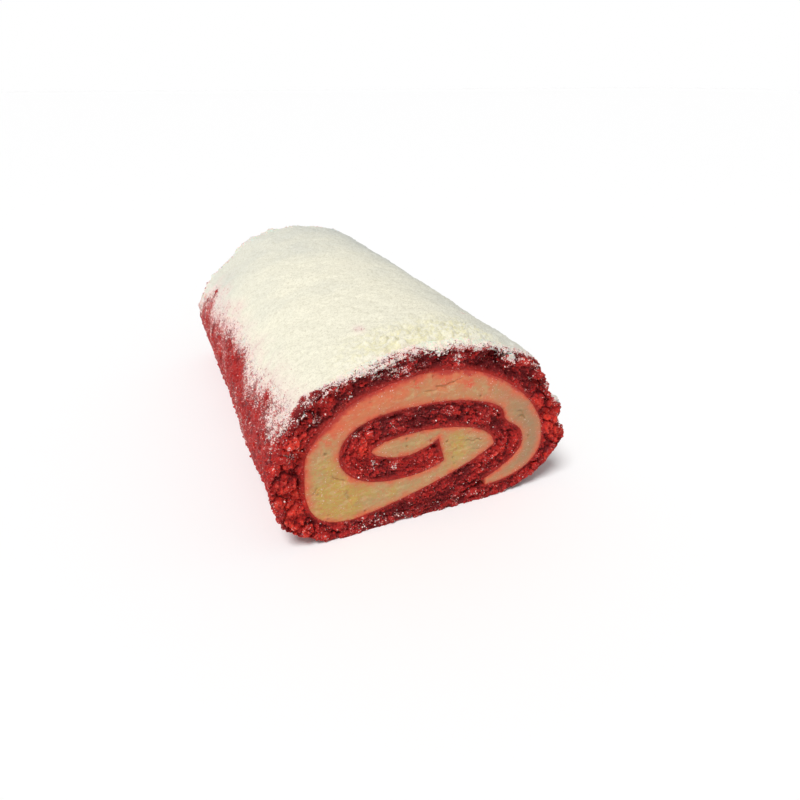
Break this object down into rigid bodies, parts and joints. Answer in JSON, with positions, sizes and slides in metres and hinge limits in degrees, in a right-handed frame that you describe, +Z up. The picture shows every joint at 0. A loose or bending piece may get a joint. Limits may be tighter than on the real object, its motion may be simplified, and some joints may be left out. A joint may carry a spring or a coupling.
{
  "type": "swiss roll cake",
  "caption": "Red sponge swiss roll with a spiral of cream filling, cut square at both ends and dusted with milk powder on top.",
  "frame": {"origin": "middle of the roll's flat underside", "axes": "+Z up from the underside; +Y along the roll, away from the cut face that shows; +X to the right as one looks at that cut face"},
  "size_m": [0.1166, 0.1876, 0.0701],
  "materials": {
    "sponge": "matte, open red crumb",
    "cream": "smooth, slightly moist cream",
    "powder": "matte, fine pale powder"
  },
  "bodies": {
    "root": {"sponge": "sponge", "cream": "cream", "powder_coat": "powder"}
  },
  "joints": []
}
